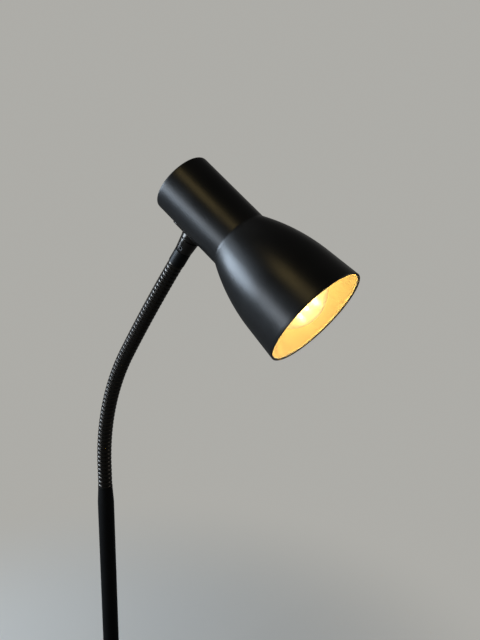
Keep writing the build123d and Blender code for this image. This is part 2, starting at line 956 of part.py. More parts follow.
os.makedirs("parts", exist_ok=True)
for node, make in NODES.items():
    export_step(make(), f"parts/{node}.step")
for index in range(neck_lengths):
    export_step(neck_link(index), f"parts/neck_link_{index + 1}.step")
for index in range(neck_lengths + 1):
    spot = neck_plane(taper_length + index * length_of_link)
    print("neck joint", index + 1, spot.origin, spot.z_dir)
print("head centre", head_centre, "head axis", head_axis)
print("mouth", head_plane.origin + head_axis * shade_length)
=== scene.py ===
import json
import math

import bpy
from mathutils import Matrix, Quaternion, Vector


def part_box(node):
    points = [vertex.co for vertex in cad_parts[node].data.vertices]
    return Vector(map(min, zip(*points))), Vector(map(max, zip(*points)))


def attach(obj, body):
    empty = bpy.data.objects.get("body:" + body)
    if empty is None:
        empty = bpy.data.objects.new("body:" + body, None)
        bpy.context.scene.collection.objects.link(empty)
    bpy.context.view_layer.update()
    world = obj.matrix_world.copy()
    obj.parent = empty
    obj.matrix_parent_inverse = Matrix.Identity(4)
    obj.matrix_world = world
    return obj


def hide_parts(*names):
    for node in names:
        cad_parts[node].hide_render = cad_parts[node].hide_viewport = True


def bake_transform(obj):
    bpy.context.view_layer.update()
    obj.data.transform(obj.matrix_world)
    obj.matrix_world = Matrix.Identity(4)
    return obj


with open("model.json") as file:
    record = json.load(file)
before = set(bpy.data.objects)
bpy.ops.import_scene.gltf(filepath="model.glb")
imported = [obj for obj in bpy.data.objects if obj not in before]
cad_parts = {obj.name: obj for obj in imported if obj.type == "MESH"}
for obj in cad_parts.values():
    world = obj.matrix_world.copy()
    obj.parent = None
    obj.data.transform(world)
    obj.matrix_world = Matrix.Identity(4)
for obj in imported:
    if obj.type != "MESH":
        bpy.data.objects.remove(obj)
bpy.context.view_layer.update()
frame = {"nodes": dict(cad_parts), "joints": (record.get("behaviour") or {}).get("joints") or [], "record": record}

# Desk lamp on a flexible neck. Metres, +Z up, +X the way the neck leans.

# Camera at the photograph's view
camera_place = Vector((0.6093, -0.6125, 0.7068))
camera_aim = Vector((0.1622, 0.0, 0.4705))
camera_roll_degrees = 0.48
camera_lens_mm = 54.11
camera_sensor_mm = 36.0

# Studio. A rise share is the height that a ray gains for each length that it travels.
backdrop_colour = (0.42, 0.415, 0.39)
floor_colour = (0.70, 0.675, 0.63)
floor_bounce_colour = (0.05, 0.05, 0.05)
floor_roughness = 0.9
floor_gloss_share = 0.08
floor_radius = 8.0
floor_sides = 96
floor_drop = 0.0003
floor_lit_radius = 0.16
floor_plain_radius = 0.50
room_colour = (0.22, 0.22, 0.21)
ceiling_colour = (0.04, 0.04, 0.04)
room_rise_share = -0.05
ceiling_rise_share = 0.50
panels = {
    "window": dict(place=(-0.95, -0.71, 0.62), size=(0.80, 0.52), colour=(0.70, 0.84, 1.0), power=18.5),
    "sky": dict(place=(-0.85, -0.60, 1.13), size=(0.80, 0.35), colour=(0.75, 0.87, 1.0), power=1.6),
    "curtain": dict(place=(-0.45, -1.17, 0.50), size=(0.55, 0.40), colour=(0.82, 0.90, 1.0), power=3.3),
    "ceiling": dict(place=(0.27, -0.78, 1.65), size=(0.45, 0.45), colour=(1.0, 0.76, 0.32), power=1.4),
    "back_right": dict(place=(0.84, 0.89, 0.94), size=(0.70, 0.50), colour=(1.0, 0.97, 0.92), power=1.3),
    "back_left": dict(place=(-0.80, 0.28, 1.14), size=(0.70, 0.50), colour=(1.0, 0.97, 0.92), power=1.6),
}

# Edges and meshing
edge_radius = 0.0004
soft_edge = 0.0008
mesh_step = 0.003
turn_steps = 128
corner_steps = 5
cutter_sides = 48
sharp_degrees = 32.0
overrun = 0.002
on_axis_radius = 1e-7

# Finishes. Scales and grains are in cells of noise to the metre.
noise_low = 0.3
noise_high = 0.7
patch_scale = 35.0
patch_detail = 3.0
grain_detail = 2.0
ripple_scale = 60.0
ripple_detail = 1.0
glass_ior = 1.5

# Base
base_radius = 0.080
base_height = 0.024
base_edge_radius = 0.008
base_edge_steps = 12
cover_wall = 0.0012
rim_lift = 0.001
bezel_radius = 0.0135
bezel_neck_radius = 0.010
bezel_height = 0.0022
bezel_bore = 0.0079
bezel_low = 0.018
button_radius = 0.0076
button_top = 0.0307
button_low = 0.0180
button_crown = 0.0012
button_crown_steps = 12
inlet_height = 0.01123
inlet_bore_radius = 0.0032
inlet_body_radius = 0.0044
inlet_flange_radius = 0.0068
inlet_flange_length = 0.004
inlet_lip_radius = 0.0054
inlet_inside_length = 0.008

# Post
post_radius = 0.008
collar_radius = 0.016
collar_crown_radius = 0.0096
collar_height = 0.009
collar_lip = 0.0025
taper_land = 0.002
taper_lip_length = 0.003
taper_lip_wall = 0.0002

# Neck: a straight run above the post, then two tangent arcs
neck_radius = 0.0069
groove_depth = 0.00075
rib_pitch = 0.00437
rib_rings = 12
neck_sides = 48
link_length = 0.0328
neck_lengths = 8
neck_straight = 0.041
lower_bend_length = 0.130
lower_bend = math.radians(30.9)
upper_bend = math.radians(3.53)
coil_tuck = 0.0015
crest_fall_share = 0.35
groove_start_share = 0.55

# Ferrule, coupling and saddle. Lengths along the neck count from the shade's axis.
head_reach = 0.0606
sleeve_length = 0.014
sleeve_low = head_reach - sleeve_length
sleeve_radius = 0.0072
hidden_radius = sleeve_radius / 2
coupling_small_radius = 0.0073
coupling_large_radius = 0.0085
collar_ring_radius = 0.0088
collar_ring_length = 0.0034
collar_ring_foot = 0.0287
ring_groove_width = 0.0012
ring_groove_depth = 0.0007
swivel_gap = 0.0003
set_screw_back = 0.004
set_screw_hole = 0.0021
saddle_length = 0.031
saddle_width = 0.036
saddle_corner = 0.006
saddle_low = 0.0272
saddle_high = 0.0279
saddle_rings = 8

# Shade
shade_length = 0.1627
shade_mouth_radius = 0.047
shade_neck_radius = 0.0271
shade_neck_length = 0.0727
shade_wall = 0.001
shade_rear_radius = 0.0014
shade_rear_steps = 8
shade_crease_radius = 0.006
shade_crease_steps = 10
bell_start = math.radians(26.5)
bell_end = math.radians(5.5)
bell_steps = 40
rim_edge_radius = 0.0004
rim_edge_steps = 6
rim_bead_radius = 0.0007
rim_bead_inset = 0.0014
rim_bead_steps = 16
rim_black_depth = 0.0006
stem_from_rear = 0.0335
vent_radius = 0.0025
vent_circle_radius = 0.015
vent_count = 8

# Bulb
bulb_radius = 0.030
bulb_round_steps = 48
bulb_centre = 0.1321
bulb_neck_radius = 0.0129
bulb_flank_steps = 16
bulb_glass_wall = 0.0003
bulb_foot = 0.0790
bulb_neck_end = 0.0970
bulb_glow = 0.09
filament_strength = 18.0
filament_colour = (1.0, 0.68, 0.20)
filament_base_colour = (1.0, 0.75, 0.35)
filament_grain = 900.0
filament_roughness = (0.4, 0.6)


# Materials


def new_material(name):
    made = bpy.data.materials.new(name)
    made.use_nodes = True
    return made, made.node_tree.nodes, made.node_tree.links, made.node_tree.nodes["Principled BSDF"]


def noise(nodes, links, scale, detail):
    """A noise texture on the piece's own coordinates."""
    place = nodes.new("ShaderNodeTexCoord")
    texture = nodes.new("ShaderNodeTexNoise")
    texture.inputs["Scale"].default_value = scale
    texture.inputs["Detail"].default_value = detail
    links.new(place.outputs["Object"], texture.inputs["Vector"])
    return texture.outputs["Fac"]


def spread(nodes, links, value, low, high):
    """Maps a noise value onto a range of numbers."""
    span = nodes.new("ShaderNodeMapRange")
    span.inputs["From Min"].default_value = noise_low
    span.inputs["From Max"].default_value = noise_high
    span.inputs["To Min"].default_value = low
    span.inputs["To Max"].default_value = high
    links.new(value, span.inputs["Value"])
    return span.outputs["Result"]


def blend_colours(nodes, links, value, low, high):
    mix = nodes.new("ShaderNodeMix")
    mix.data_type = "RGBA"
    mix.inputs["A"].default_value = (*low, 1.0)
    mix.inputs["B"].default_value = (*high, 1.0)
    links.new(value, mix.inputs["Factor"])
    return mix.outputs["Result"]


def add_bump(nodes, links, shader, value, depth):
    bump = nodes.new("ShaderNodeBump")
    bump.inputs["Strength"].default_value = 1.0
    bump.inputs["Distance"].default_value = depth
    links.new(value, bump.inputs["Height"])
    links.new(bump.outputs["Normal"], shader.inputs["Normal"])


def finish(name, low, high, roughness, grain, depth, metallic=0.0, gloss=0.5, gloss_tint=(1.0, 1.0, 1.0)):
    """A surface whose colour and gloss drift in soft patches over a fine bump of its own grain."""
    made, nodes, links, shader = new_material(name)
    patches = noise(nodes, links, patch_scale, patch_detail)
    fine = noise(nodes, links, grain, grain_detail)
    links.new(blend_colours(nodes, links, patches, low, high), shader.inputs["Base Color"])
    links.new(spread(nodes, links, patches, *roughness), shader.inputs["Roughness"])
    shader.inputs["Metallic"].default_value = metallic
    shader.inputs["Specular IOR Level"].default_value = gloss
    shader.inputs["Specular Tint"].default_value = (*gloss_tint, 1.0)
    add_bump(nodes, links, shader, fine, depth)
    return made


def glass(name, tint, haze, glow=0.0):
    """Clear or hazy glass; glow is the light that its haze shows of what burns inside."""
    made, nodes, links, shader = new_material(name)
    ripple = noise(nodes, links, ripple_scale, ripple_detail)
    links.new(spread(nodes, links, ripple, *haze), shader.inputs["Roughness"])
    shader.inputs["Base Color"].default_value = (*tint, 1.0)
    shader.inputs["Transmission Weight"].default_value = 1.0
    shader.inputs["IOR"].default_value = glass_ior
    shader.inputs["Emission Color"].default_value = (*filament_colour, 1.0)
    shader.inputs["Emission Strength"].default_value = glow
    made.cycles.emission_sampling = "NONE"
    return made


def glowing(name):
    """The bulb's burning strips, which light the inside of the shade."""
    made, nodes, links, shader = new_material(name)
    grain = noise(nodes, links, filament_grain, grain_detail)
    links.new(spread(nodes, links, grain, *filament_roughness), shader.inputs["Roughness"])
    shader.inputs["Base Color"].default_value = (*filament_base_colour, 1.0)
    shader.inputs["Emission Color"].default_value = (*filament_colour, 1.0)
    shader.inputs["Emission Strength"].default_value = filament_strength
    made.cycles.emission_sampling = "FRONT"
    return made


def grey(value, warm=0.0):
    return (value * (1 + warm), value, value * (1 - warm))


SATIN_BLACK = finish(
    "satin_black", grey(0.003), grey(0.005), roughness=(0.31, 0.38), grain=1400.0, depth=0.00001
)
CREAM = finish(
    "cream_paint",
    (0.80, 0.73, 0.58),
    (0.84, 0.77, 0.62),
    roughness=(0.28, 0.34),
    grain=900.0,
    depth=0.00002,
)
# Paler than the inside's cream: a painted highlight for the bright line of light round the mouth's rim.
RIM_HIGHLIGHT_CREAM = finish(
    "cream_rim_painted_highlight",
    (0.93, 0.90, 0.80),
    (0.95, 0.92, 0.83),
    roughness=(0.24, 0.32),
    grain=900.0,
    depth=0.00001,
)
GLOSS_BLACK = finish(
    "gloss_black",
    grey(0.002),
    grey(0.004),
    roughness=(0.16, 0.22),
    grain=700.0,
    depth=0.000006,
    gloss_tint=(1.0, 0.88, 0.76),
)
SEMI_GLOSS = finish(
    "semi_gloss_black",
    grey(0.002),
    grey(0.004),
    roughness=(0.38, 0.46),
    grain=900.0,
    depth=0.000008,
    gloss=0.18,
)
POWDER = finish(
    "powder_coat", grey(0.014), grey(0.018), roughness=(0.49, 0.54), grain=1500.0, depth=0.00005
)
BLACK_PLASTIC = finish(
    "moulded_black", grey(0.014), grey(0.020), roughness=(0.42, 0.52), grain=1800.0, depth=0.00003
)
BUTTON_PLASTIC = finish(
    "polished_black", grey(0.016), grey(0.020), roughness=(0.14, 0.22), grain=900.0, depth=0.000006
)
HOLDER_PLASTIC = finish(
    "holder_black",
    grey(0.022, warm=0.04),
    grey(0.034, warm=0.04),
    roughness=(0.40, 0.52),
    grain=1500.0,
    depth=0.00003,
)
STEEL = finish(
    "zinc_steel",
    grey(0.50),
    grey(0.60),
    roughness=(0.26, 0.40),
    grain=500.0,
    depth=0.00001,
    metallic=1.0,
)
IRON = finish(
    "cast_iron",
    grey(0.09),
    grey(0.15),
    roughness=(0.60, 0.75),
    grain=700.0,
    depth=0.0001,
    metallic=0.8,
)
BRASS = finish(
    "brass",
    (0.66, 0.48, 0.20),
    (0.74, 0.57, 0.28),
    roughness=(0.22, 0.34),
    grain=500.0,
    depth=0.00001,
    metallic=1.0,
)
NICKEL = finish(
    "nickel",
    grey(0.68, warm=0.02),
    grey(0.76, warm=0.02),
    roughness=(0.16, 0.26),
    grain=500.0,
    depth=0.000008,
    metallic=1.0,
)
BLACK_OXIDE = finish(
    "black_oxide",
    grey(0.03),
    grey(0.05),
    roughness=(0.30, 0.42),
    grain=600.0,
    depth=0.00001,
    metallic=0.7,
)
FOAM_RUBBER = finish(
    "foam_rubber", grey(0.020), grey(0.034), roughness=(0.80, 0.92), grain=1300.0, depth=0.0002
)
CERAMIC = finish(
    "ceramic",
    (0.74, 0.72, 0.67),
    (0.80, 0.78, 0.74),
    roughness=(0.22, 0.32),
    grain=600.0,
    depth=0.00002,
)
LEAD_COVER = finish(
    "lead_cover", grey(0.016), grey(0.022), roughness=(0.38, 0.46), grain=1200.0, depth=0.00002
)
STEM_GLASS = glass("stem_glass", (0.96, 0.97, 0.96), haze=(0.0, 0.02))
BULB_GLASS = glass("bulb_glass", (1.0, 1.0, 1.0), haze=(0.34, 0.40), glow=bulb_glow)
FILAMENT = glowing("filament")

SLOT_MATERIALS = {
    "shade_paint": SATIN_BLACK,
    "neck_paint": GLOSS_BLACK,
    "post_paint": SEMI_GLOSS,
    "base_paint": POWDER,
    "steel": STEEL,
    "iron": IRON,
    "brass": BRASS,
    "nickel": NICKEL,
    "pad": FOAM_RUBBER,
    "black_plastic": BLACK_PLASTIC,
    "button_plastic": BUTTON_PLASTIC,
    "holder_plastic": HOLDER_PLASTIC,
    "ceramic": CERAMIC,
    "lead_cover": LEAD_COVER,
    "glass": STEM_GLASS,
    "filament": FILAMENT,
}
NODE_MATERIALS = {"head_set_screw": BLACK_OXIDE}


# Mesh helpers

UPRIGHT = Matrix.Identity(4)


def rounded(corners, closed=False):
    """Outline of (radius, height, fillet) corners with each corner rounded by its fillet."""
    points = []
    count = len(corners)
    for number, (radius, height, fillet) in enumerate(corners):
        here = Vector((radius, height))
        at_end = not closed and number in (0, count - 1)
        if fillet == 0 or at_end:
            points.append(here)
            continue
        back = (Vector(corners[number - 1][:2]) - here).normalized()
        ahead = (Vector(corners[(number + 1) % count][:2]) - here).normalized()
        half = back.angle(ahead) / 2
        centre = here + (back + ahead).normalized() * fillet / math.sin(half)
        start = here + back * fillet / math.tan(half) - centre
        end = here + ahead * fillet / math.tan(half) - centre
        for step in range(corner_steps + 1):
            share = step / corner_steps
            points.append(centre + start.lerp(end, share).normalized() * fillet)
    return points


def arc(centre, radius, start, end, steps):
    """Points of an arc between two angles from the radius axis."""
    points = []
    for step in range(steps + 1):
        angle = start + (end - start) * step / steps
        points.append(Vector(centre) + Vector((math.cos(angle), math.sin(angle))) * radius)
    return points


def split_long(points, closed=False):
    """Adds points so that no span of the outline is longer than mesh_step."""
    made = []
    ends = points[1:] + points[:1] if closed else points[1:]
    for start, end in zip(points, ends):
        parts = max(1, math.ceil((end - start).length / mesh_step))
        made += [start.lerp(end, part / parts) for part in range(parts)]
    return made if closed else made + [points[-1]]


def smooth(piece):
    piece.data.shade_smooth()
    piece.data.set_sharp_from_angle(angle=math.radians(sharp_degrees))


def new_piece(name, places, faces, materials, bands=None):
    """A smooth mesh piece; bands gives the number of each face's material."""
    mesh = bpy.data.meshes.new(name)
    mesh.from_pydata(places, [], faces)
    for made in materials:
        mesh.materials.append(made)
    if bands:
        mesh.polygons.foreach_set("material_index", bands)
    mesh.validate()
    piece = bpy.data.objects.new(name, mesh)
    bpy.context.scene.collection.objects.link(piece)
    smooth(piece)
    return piece


def turned(name, outline, place, materials, second_from=None, closed=False, sides=turn_steps):
    """A piece turned about the local Z of place. Spans from second_from on take the second material."""
    rings = []
    places = []
    for radius, height in outline:
        if radius < on_axis_radius:
            rings.append([len(places)] * sides)
            places.append(place @ Vector((0, 0, height)))
            continue
        rings.append(list(range(len(places), len(places) + sides)))
        for side in range(sides):
            angle = math.tau * side / sides
            places.append(place @ Vector((radius * math.cos(angle), radius * math.sin(angle), height)))
    spans = list(zip(rings, rings[1:]))
    if closed:
        spans.append((rings[-1], rings[0]))
    faces = []
    bands = []
    for number, (low, high) in enumerate(spans):
        for side in range(sides):
            after = (side + 1) % sides
            corners = [low[side], low[after], high[after], high[side]]
            faces.append(list(dict.fromkeys(corners)))
            bands.append(int(second_from is not None and number >= second_from))
    return new_piece(name, places, faces, materials, bands)


def cutter(radius, low, high, place):
    """A plain cylinder on the local Z of place, for cut to take out."""
    outline = [Vector((0, low)), Vector((radius, low)), Vector((radius, high)), Vector((0, high))]
    return turned("cutter", outline, place, [], sides=cutter_sides)


def cut(piece, *cutters):
    """Takes the cutters out of a piece."""
    for tool in cutters:
        change = piece.modifiers.new("cut", "BOOLEAN")
        change.operation = "DIFFERENCE"
        change.solver = "EXACT"
        change.object = tool
    state = bpy.context.evaluated_depsgraph_get()
    whole = bpy.data.meshes.new_from_object(piece.evaluated_get(state))
    piece.modifiers.clear()
    piece.data = whole
    for tool in cutters:
        bpy.data.objects.remove(tool)
    smooth(piece)


def stands_for(piece, body, slot, *nodes):
    """Hides the nodes that a piece replaces and attaches it to the body that it rides on; slot is not used."""
    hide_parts(*nodes)
    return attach(piece, body)


def facing(origin, x_axis, z_axis):
    """Matrix whose local X and Z lie along the two given axes."""
    x_axis = Vector(x_axis).normalized()
    z_axis = Vector(z_axis).normalized()
    made = Matrix((x_axis, z_axis.cross(x_axis), z_axis)).transposed().to_4x4()
    made.translation = Vector(origin)
    return made


# Neck line, as in the solids

post_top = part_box("post_tube")[1].z
neck_joints = [joint for joint in frame["joints"] if joint["name"].startswith("neck_")]
first_joint = Vector(neck_joints[0]["pos_m"])
taper_length = first_joint.z - post_top
neck_top = taper_length + neck_lengths * link_length
lower_bend_radius = lower_bend_length / lower_bend
upper_bend_length = neck_top - neck_straight - lower_bend_length
upper_bend_radius = upper_bend_length / upper_bend
bend_start = Vector((0, 0, post_top + neck_straight))


def bent(start, lean, radius, turn):
    """End of an arc of the neck that starts at a lean and turns further."""
    across = radius * (math.cos(lean) - math.cos(lean + turn))
    rise = radius * (math.sin(lean + turn) - math.sin(lean))
    return start + Vector((across, 0, rise))


def neck_frame(length):
    """Centre, across and along directions of the neck at a length from the post's top."""
    bend_change = bent(bend_start, 0, lower_bend_radius, lower_bend)
    if length <= neck_straight:
        lean = 0
        place = Vector((0, 0, post_top + length))
    elif length <= neck_straight + lower_bend_length:
        lean = (length - neck_straight) / lower_bend_radius
        place = bent(bend_start, 0, lower_bend_radius, lean)
    else:
        turn = (length - neck_straight - lower_bend_length) / upper_bend_radius
        lean = lower_bend + turn
        place = bent(bend_change, lower_bend, upper_bend_radius, turn)
    across = Vector((math.cos(lean), 0, -math.sin(lean)))
    along = Vector((math.sin(lean), 0, math.cos(lean)))
    return place, across, along


def rib_radius(turns):
    """Radius of the wound neck at a number of turns along its coil."""
    from_crest = abs(2 * (turns % 1) - 1)
    groove = max(0.0, (from_crest - groove_start_share) / (1 - groove_start_share))
    eased = groove * groove * (3 - 2 * groove)
    fall = crest_fall_share * from_crest**2 + (1 - crest_fall_share) * eased
    return neck_radius - groove_depth * fall


def neck_piece(name, start, end):
    """A stretch of the wound neck between two lengths along it."""
    count = max(2, round((end - start) / rib_pitch * rib_rings))
    places = []
    for ring in range(count + 1):
        length = start + (end - start) * ring / count
        place, across, along = neck_frame(length)
        side_axis = along.cross(across)
        for side in range(neck_sides):
            angle = math.tau * side / neck_sides
            radius = rib_radius((length - taper_length) / rib_pitch + angle / math.tau)
            places.append(place + (across * math.cos(angle) + side_axis * math.sin(angle)) * radius)
    faces = []
    for ring in range(count):
        for side in range(neck_sides):
            after = (side + 1) % neck_sides
            low, high = ring * neck_sides, (ring + 1) * neck_sides
            faces.append([low + side, low + after, high + after, high + side])
    return new_piece(name, places, faces, [GLOSS_BLACK])


def build_neck():
    """Wound stretches, each spanning one joint from the middle of one length to the next."""
    stops = [taper_length - coil_tuck]
    stops += [taper_length + (number + 0.5) * link_length for number in range(neck_lengths)]
    for number, joint in enumerate(neck_joints):
        start, end = stops[number], stops[number + 1]
        piece = neck_piece(f"neck_coil_{number + 1}", start, end)
        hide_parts(f"neck_link_{number + 1}")
        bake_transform(piece)
    last = neck_piece("neck_coil_end", stops[-1], neck_top + coil_tuck)
    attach(last, neck_joints[-1]["child"])


# Base


def switch_place():
    low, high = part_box("switch_bezel")
    return Matrix.Translation(((low.x + high.x) / 2, (low.y + high.y) / 2, 0))


def inlet_place():
    return facing((-base_radius, 0, inlet_height), (0, 1, 0), (-1, 0, 0))


def build_base_cover():
    """The base's pressed cover, open below, with holes for the switch and the inlet."""
    flat = base_radius - base_edge_radius
    side = base_height - base_edge_radius
    inner_side = base_radius - cover_wall
    inner_edge = base_edge_radius - cover_wall
    rim = [
        (base_radius, side, 0),
        (base_radius, rim_lift, edge_radius),
        (inner_side, rim_lift, edge_radius),
        (inner_side, side, 0),
    ]
    outline = [Vector((0, base_height))]
    outline += arc((flat, side), base_edge_radius, math.pi / 2, 0, base_edge_steps)
    outline += rounded(rim)[1:]
    outline += arc((flat, side), inner_edge, 0, math.pi / 2, base_edge_steps)[1:]
    outline.append(Vector((0, base_height - cover_wall)))
    cover = turned("base_cover_shell", split_long(outline), UPRIGHT, [POWDER])
    switch_hole = cutter(bezel_neck_radius, side, base_height + overrun, switch_place())
    inlet_hole = cutter(inlet_body_radius, -inlet_inside_length, overrun, inlet_place())
    cut(cover, switch_hole, inlet_hole)
    stands_for(cover, "base", "base_paint", "base_cover")


def build_switch_ring():
    corners = [
        (bezel_bore, bezel_low, 0),
        (bezel_neck_radius, bezel_low, 0),
        (bezel_neck_radius, base_height, 0),
        (bezel_radius, base_height, edge_radius),
        (bezel_radius, base_height + bezel_height / 2, soft_edge),
        (bezel_neck_radius, base_height + bezel_height, soft_edge),
        (bezel_bore, base_height + bezel_height, edge_radius),
    ]
    ring = turned("switch_ring", rounded(corners, True), switch_place(), [BLACK_PLASTIC], closed=True)
    stands_for(ring, "base", "black_plastic", "switch_bezel")


def build_cord_inlet():
    corners = [
        (inlet_bore_radius, -inlet_inside_length, 0),
        (inlet_body_radius, -inlet_inside_length, 0),
        (inlet_body_radius, 0, 0),
        (inlet_flange_radius, 0, 0),
        (inlet_flange_radius, inlet_flange_length / 2, soft_edge),
        (inlet_lip_radius, inlet_flange_length, soft_edge),
        (inlet_bore_radius, inlet_flange_length, soft_edge),
    ]
    bush = turned("cord_inlet_bush", rounded(corners, True), inlet_place(), [BLACK_PLASTIC], closed=True)
    stands_for(bush, "base", "black_plastic", "cord_inlet")


def build_button():
    """The switch's button, with a crowned top."""
    crown = (button_radius**2 + button_crown**2) / (2 * button_crown)
    half = math.asin(button_radius / crown)
    centre = (0, button_top - crown)
    outline = [Vector((button_radius, button_low))]
    outline += arc(centre, crown, math.pi / 2 - half, math.pi / 2, button_crown_steps)
    outline[-1] = Vector((0, button_top))
    button = turned("button_cap", split_long(outline), switch_place(), [BUTTON_PLASTIC])
    stands_for(button, "button", "button_plastic", "switch_button")


# Post


def build_post_tube():
    low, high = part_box("post_tube")
    line = [Vector((post_radius, low.z)), Vector((post_radius, high.z))]
    tube = turned("post", split_long(line), UPRIGHT, [SEMI_GLOSS])
    stands_for(tube, "base", "post_paint", "post_tube")


def build_post_collar():
    top = base_height + collar_height
    corners = [
        (post_radius, base_height, 0),
        (collar_radius, base_height, 0),
        (collar_radius, base_height + collar_lip, soft_edge),
        (collar_crown_radius + collar_lip, top - collar_lip, collar_lip),
        (collar_crown_radius, top, soft_edge),
        (post_radius, top, 0),
    ]
    collar = turned("post_foot_collar", split_long(rounded(corners)), UPRIGHT, [SEMI_GLOSS])
    stands_for(collar, "base", "post_paint", "post_collar")


def build_neck_taper():
    """The tapered coupling from the post to the neck, with a thin lip round the coil's foot."""
    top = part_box("post_taper")[1].z
    lip = neck_radius + taper_lip_wall
    corners = [
        (post_radius, post_top, 0),
        (post_radius, post_top + taper_land, taper_land),
        (lip, top - taper_lip_length, taper_lip_length),
        (lip, top, taper_lip_wall),
        (neck_radius, top, 0),
        (neck_radius - groove_depth, top - taper_lip_length, 0),
    ]
    taper = turned("neck_taper", split_long(rounded(corners)), UPRIGHT, [SEMI_GLOSS])
    stands_for(taper, "base", "post_paint", "post_taper")


# Head. On the mount frame Z runs from the shade's axis back to the neck.
# On the head frame Z runs from the shade's rear to its mouth and X points at the neck.


def mount_place():
    place, across, along = neck_frame(neck_top)
    return facing(place + along * head_reach, across, -along)


def head_place():
    place, across, along = neck_frame(neck_top)
    centre = place + along * head_reach
    return facing(centre - across * stem_from_rear, -along, across)


def build_sleeve():
    """The sleeve that ends the neck, round the coil's tucked end."""
    bore = neck_radius + taper_lip_wall / 2
    corners = [
        (bore, head_reach - coil_tuck, 0),
        (bore, head_reach, 0),
        (sleeve_radius, head_reach, taper_lip_wall / 2),
        (sleeve_radius, sleeve_low, edge_radius),
        (hidden_radius, sleeve_low, 0),
    ]
    sleeve = turned("neck_ferrule", split_long(rounded(corners)), mount_place(), [SEMI_GLOSS])
    stands_for(sleeve, "link_8", "neck_paint", "neck_sleeve")


def build_coupling():
    """The cone between the sleeve and the saddle, with its ring, groove and set-screw hole."""
    ring_end = collar_ring_foot + collar_ring_length
    groove_end = ring_end + ring_groove_width
    groove = coupling_large_radius - ring_groove_depth
    end = sleeve_low - swivel_gap
    corners = [
        (hidden_radius, end, 0),
        (coupling_small_radius, end, edge_radius),
        (coupling_large_radius, groove_end, edge_radius),
        (groove, groove_end, 0),
        (groove, ring_end, 0),
        (collar_ring_radius, ring_end, edge_radius),
        (collar_ring_radius, saddle_low, 0),
        (hidden_radius, saddle_low, 0),
    ]
    outline = split_long(rounded(corners, True), True)
    cone = turned("head_cone", outline, mount_place(), [GLOSS_BLACK], closed=True)
    hole = mount_place() @ facing((0, 0, sleeve_low - set_screw_back), (0, 0, 1), (0, 1, 0))
    cut(cone, cutter(set_screw_hole, hidden_radius + overrun / 2, collar_ring_radius, hole))
    stands_for(cone, "head", "neck_paint", "head_coupling")


def saddle_outline(share):
    """Rounded rectangle of the saddle, shrunk to a share, in lengths along the shade and round it."""
    half_length = saddle_length / 2
    half_width = saddle_width / 2
    corners = [
        (half_length, -half_width, saddle_corner),
        (half_length, half_width, saddle_corner),
        (-half_length, half_width, saddle_corner),
        (-half_length, -half_width, saddle_corner),
    ]
    points = split_long(rounded(corners, True), True)
    return [point * share for point in points]


def build_saddle():
    """A thin plate bent round the shade's cylinder, with softened edges."""
    shares = [ring / saddle_rings for ring in range(1, saddle_rings + 1)]
    edge_share = 1 - edge_radius / saddle_width * 2
    layers = [(saddle_low, share) for share in shares]
    layers += [(saddle_high - edge_radius, 1.0), (saddle_high, edge_share)]
    layers += [(saddle_high, share) for share in shares[-2::-1]]
    rings = []
    places = []
    head = head_place()
    for radius, share in layers:
        ring = saddle_outline(share)
        rings.append(range(len(places), len(places) + len(ring)))
        for along, around in ring:
            angle = around / radius
            spot = Vector((radius * math.cos(angle), radius * math.sin(angle), stem_from_rear + along))
            places.append(head @ spot)
    faces = []
    for low, high in zip(rings, rings[1:]):
        for side in range(len(low)):
            after = (side + 1) % len(low)
            faces.append([low[side], low[after], high[after], high[side]])
    faces.append(list(rings[0])[::-1])
    faces.append(list(rings[-1]))
    saddle = new_piece("saddle", places, faces, [GLOSS_BLACK])
    stands_for(saddle, "head", "neck_paint", "saddle_plate")


def shade_line(inset):
    """Half outline of the shade, moved inwards by inset, from the rear's centre to the mouth."""
    neck = shade_neck_radius - inset
    mouth = shade_mouth_radius - inset
    bell_length = shade_length - shade_neck_length
    flare = mouth - neck - bell_length * math.tan(bell_end)
    drop = math.cos(bell_end) - math.cos(bell_start)
    run = math.sin(bell_start) - math.sin(bell_end)
    radius = flare / (drop - run * math.tan(bell_end))
    centre = (neck - radius * math.cos(bell_start), shade_neck_length + radius * math.sin(bell_start))
    crease = shade_crease_radius + inset
    turn = math.acos((radius * math.cos(bell_start) + crease) / (radius + crease))
    crease_centre = (neck + crease, centre[1] - (radius + crease) * math.sin(turn))
    edge = shade_rear_radius - inset
    line = [Vector((0, inset))]
    line += arc((neck - edge, inset + edge), edge, -math.pi / 2, 0, shade_rear_steps)
    line += arc(crease_centre, crease, math.pi, math.pi - turn, shade_crease_steps)
    line += arc(centre, radius, -turn, -bell_end, bell_steps)
    line.append(Vector((mouth, shade_length)))
    return line


def build_shade_shell():
    """The shade's thin shell, black outside and cream inside, with vents in its rear."""
    outer = shade_line(0)
    inner = shade_line(shade_wall)
    edge = rim_edge_radius
    lip_centre = (shade_mouth_radius - edge, shade_length - edge)
    lip = arc(lip_centre, edge, 0, math.pi / 2, rim_edge_steps)
    back = Vector((inner[-1].x, shade_length))
    paint_end = back + (inner[-2] - back).normalized() * rim_black_depth
    outside = split_long(outer[:-1] + lip + [back, paint_end])
    inside = split_long([paint_end] + inner[-2::-1])[1:]
    paints = [SATIN_BLACK, CREAM]
    cream_from = len(outside) - 1
    shell = turned("shade_shell", outside + inside, head_place(), paints, second_from=cream_from)
    holes = []
    for number in range(vent_count):
        angle = math.tau * number / vent_count
        spot = (vent_circle_radius * math.cos(angle), vent_circle_radius * math.sin(angle), 0)
        place = head_place() @ Matrix.Translation(spot)
        holes.append(cutter(vent_radius, -overrun, overrun, place))
    cut(shell, *holes)
    stands_for(shell, "head", "shade_paint", "shade_cylinder", "shade_bell")


